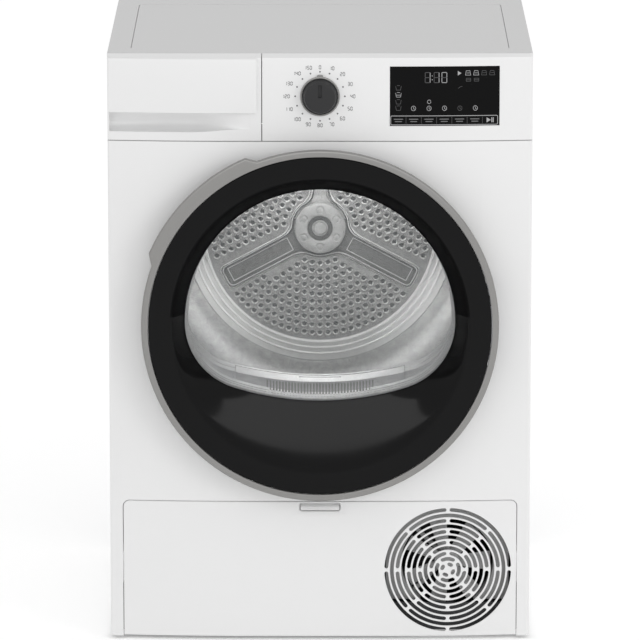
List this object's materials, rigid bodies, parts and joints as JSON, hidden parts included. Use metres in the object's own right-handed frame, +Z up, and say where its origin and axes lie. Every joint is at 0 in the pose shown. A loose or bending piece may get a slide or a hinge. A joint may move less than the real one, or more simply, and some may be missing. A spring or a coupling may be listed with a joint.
{
  "type": "clothes dryer",
  "caption": "Front-loading heat-pump clothes dryer with a round glazed door, top control strip with dial and display, pull-out water drawer, lint filter and hinged kick flap.",
  "frame": {"origin": "centre of the bounding box in plan, on the floor under the feet", "axes": "+Z up, -Y out of the front (the door side), +X to the right seen from the front"},
  "size_m": [0.597, 0.605, 0.846],
  "materials": {
    "aluminium_fins": "bare fins",
    "black_gloss": "gloss black",
    "black_paint": "black paint",
    "board_green": "coated circuit board",
    "dark_plastic": "moulded dark grey",
    "felt": "pressed wool felt",
    "grey_plastic": "moulded mid grey",
    "rubber": "matt black",
    "satin_grey": "satin warm grey metallic",
    "stainless": "brushed stainless",
    "tinted_glass": "clear, lightly tinted",
    "white_plastic": "satin white",
    "white_steel": "white gloss paint",
    "worktop_white": "matt pale grey-white laminate",
    "zinc_steel": "zinc-coated sheet"
  },
  "bodies": {
    "cabinet": {"side_panel_left": "white_steel", "side_panel_right": "white_steel", "front_panel": "white_steel", "worktop_frame": "worktop_white", "worktop_insert": "worktop_white", "control_fascia": "white_plastic", "display_window": "black_gloss", "control_board": "board_green", "knob_bezel": "satin_grey", "rear_panel": "zinc_steel", "rear_drum_cover": "zinc_steel", "mains_inlet": "dark_plastic", "front_bulkhead": "grey_plastic", "front_drum_seal": "felt", "bearing_bracket": "zinc_steel", "drum_bearing": "stainless", "drive_motor": "zinc_steel", "drive_belt": "rubber", "fan_housing": "grey_plastic", "heat_exchanger_duct": "grey_plastic", "evaporator": "aluminium_fins", "condenser": "aluminium_fins", "heat_exchanger_cover": "grey_plastic", "base_tray": "dark_plastic", "compressor": "black_paint", "condensate_pump": "grey_plastic", "cooling_fan_shroud": "dark_plastic", "hinge_bracket": "zinc_steel", "latch_strike": "dark_plastic", "tank_housing": "grey_plastic"},
    "door": {"door_ring": "satin_grey", "door_cover": "black_gloss", "door_window": "tinted_glass", "door_inner_frame": "dark_plastic", "door_inner_glass": "tinted_glass", "door_seal": "rubber", "door_hinge_arm": "zinc_steel", "door_latch_hook": "dark_plastic"},
    "drum": {"drum_shell": "stainless", "drum_back": "stainless", "drum_hub": "zinc_steel", "drum_lifter_1": "grey_plastic", "drum_lifter_2": "grey_plastic"},
    "roller_left": {"roller_left": "rubber"},
    "roller_right": {"roller_right": "rubber"},
    "motor_rotor": {"motor_pulley_shaft": "stainless", "process_fan_wheel": "dark_plastic"},
    "belt_idler": {"idler_pulley": "zinc_steel"},
    "tank_drawer": {"tank_drawer_front": "white_plastic", "water_tank": "grey_plastic"},
    "knob": {"knob_cap": "dark_plastic"},
    "filter": {"lint_filter": "grey_plastic"},
    "flap": {"kick_flap": "white_plastic"},
    "cooling_fan": {"cooling_fan_wheel": "black_paint"},
    "latch_left": {"cover_latch_left": "dark_plastic"},
    "latch_right": {"cover_latch_right": "dark_plastic"},
    "foot_fl": {"foot_front_left": "rubber"},
    "foot_fr": {"foot_front_right": "rubber"},
    "foot_bl": {"foot_back_left": "rubber"},
    "foot_br": {"foot_back_right": "rubber"}
  },
  "joints": [
    {"name": "door_hinge", "type": "hinge", "parent": "cabinet", "child": "door", "pos_m": [0.24, -0.2875, 0.464], "axis": [0, 0, 1], "range_deg": [0, 155]},
    {"name": "drum_turn", "type": "hinge", "parent": "cabinet", "child": "drum", "pos_m": [0, 0.2, 0.5085], "axis": [0, 1, 0], "continuous": true},
    {"name": "roller_left_turn", "type": "hinge", "parent": "cabinet", "child": "roller_left", "pos_m": [-0.1582, -0.1395, 0.23448], "axis": [0, 1, 0], "continuous": true},
    {"name": "roller_right_turn", "type": "hinge", "parent": "cabinet", "child": "roller_right", "pos_m": [0.1582, -0.1395, 0.23448], "axis": [0, 1, 0], "continuous": true},
    {"name": "motor_turn", "type": "hinge", "parent": "cabinet", "child": "motor_rotor", "pos_m": [0.165, 0.1, 0.125], "axis": [0, 1, 0], "continuous": true},
    {"name": "idler_turn", "type": "hinge", "parent": "cabinet", "child": "belt_idler", "pos_m": [0.06506, 0.0015, 0.13824], "axis": [0, 1, 0], "continuous": true},
    {"name": "tank_drawer_slide", "type": "slide", "parent": "cabinet", "child": "tank_drawer", "axis": [0, -1, 0], "range_m": [0, 0.4]},
    {"name": "knob_turn", "type": "hinge", "parent": "cabinet", "child": "knob", "pos_m": [0, -0.2675, 0.787], "axis": [0, 1, 0], "continuous": true},
    {"name": "filter_lift", "type": "slide", "parent": "cabinet", "child": "filter", "axis": [0, 0, 1], "range_m": [0, 0.165]},
    {"name": "flap_hinge", "type": "hinge", "parent": "cabinet", "child": "flap", "pos_m": [0, -0.2555, 0.018], "axis": [1, 0, 0], "range_deg": [0, 90]},
    {"name": "cooling_fan_turn", "type": "hinge", "parent": "cabinet", "child": "cooling_fan", "pos_m": [0.182, -0.21, 0.103], "axis": [0, 1, 0], "continuous": true},
    {"name": "cover_latch_left_turn", "type": "hinge", "parent": "cabinet", "child": "latch_left", "pos_m": [-0.262, -0.2435, 0.118], "axis": [0, 1, 0], "range_deg": [0, 90]},
    {"name": "cover_latch_right_turn", "type": "hinge", "parent": "cabinet", "child": "latch_right", "pos_m": [-0.049, -0.2435, 0.118], "axis": [0, 1, 0], "range_deg": [0, 90]},
    {"name": "foot_front_left_screw", "type": "slide", "parent": "cabinet", "child": "foot_fl", "axis": [0, 0, -1], "range_m": [0, 0.015]},
    {"name": "foot_front_right_screw", "type": "slide", "parent": "cabinet", "child": "foot_fr", "axis": [0, 0, -1], "range_m": [0, 0.015]},
    {"name": "foot_back_left_screw", "type": "slide", "parent": "cabinet", "child": "foot_bl", "axis": [0, 0, -1], "range_m": [0, 0.015]},
    {"name": "foot_back_right_screw", "type": "slide", "parent": "cabinet", "child": "foot_br", "axis": [0, 0, -1], "range_m": [0, 0.015]}
  ],
  "couplings": [
    {"joint": "roller_left_turn", "follows": "drum_turn", "ratio": -8.0286},
    {"joint": "roller_right_turn", "follows": "drum_turn", "ratio": -8.0286},
    {"joint": "motor_turn", "follows": "drum_turn", "ratio": 25.546},
    {"joint": "idler_turn", "follows": "drum_turn", "ratio": -15.611}
  ]
}
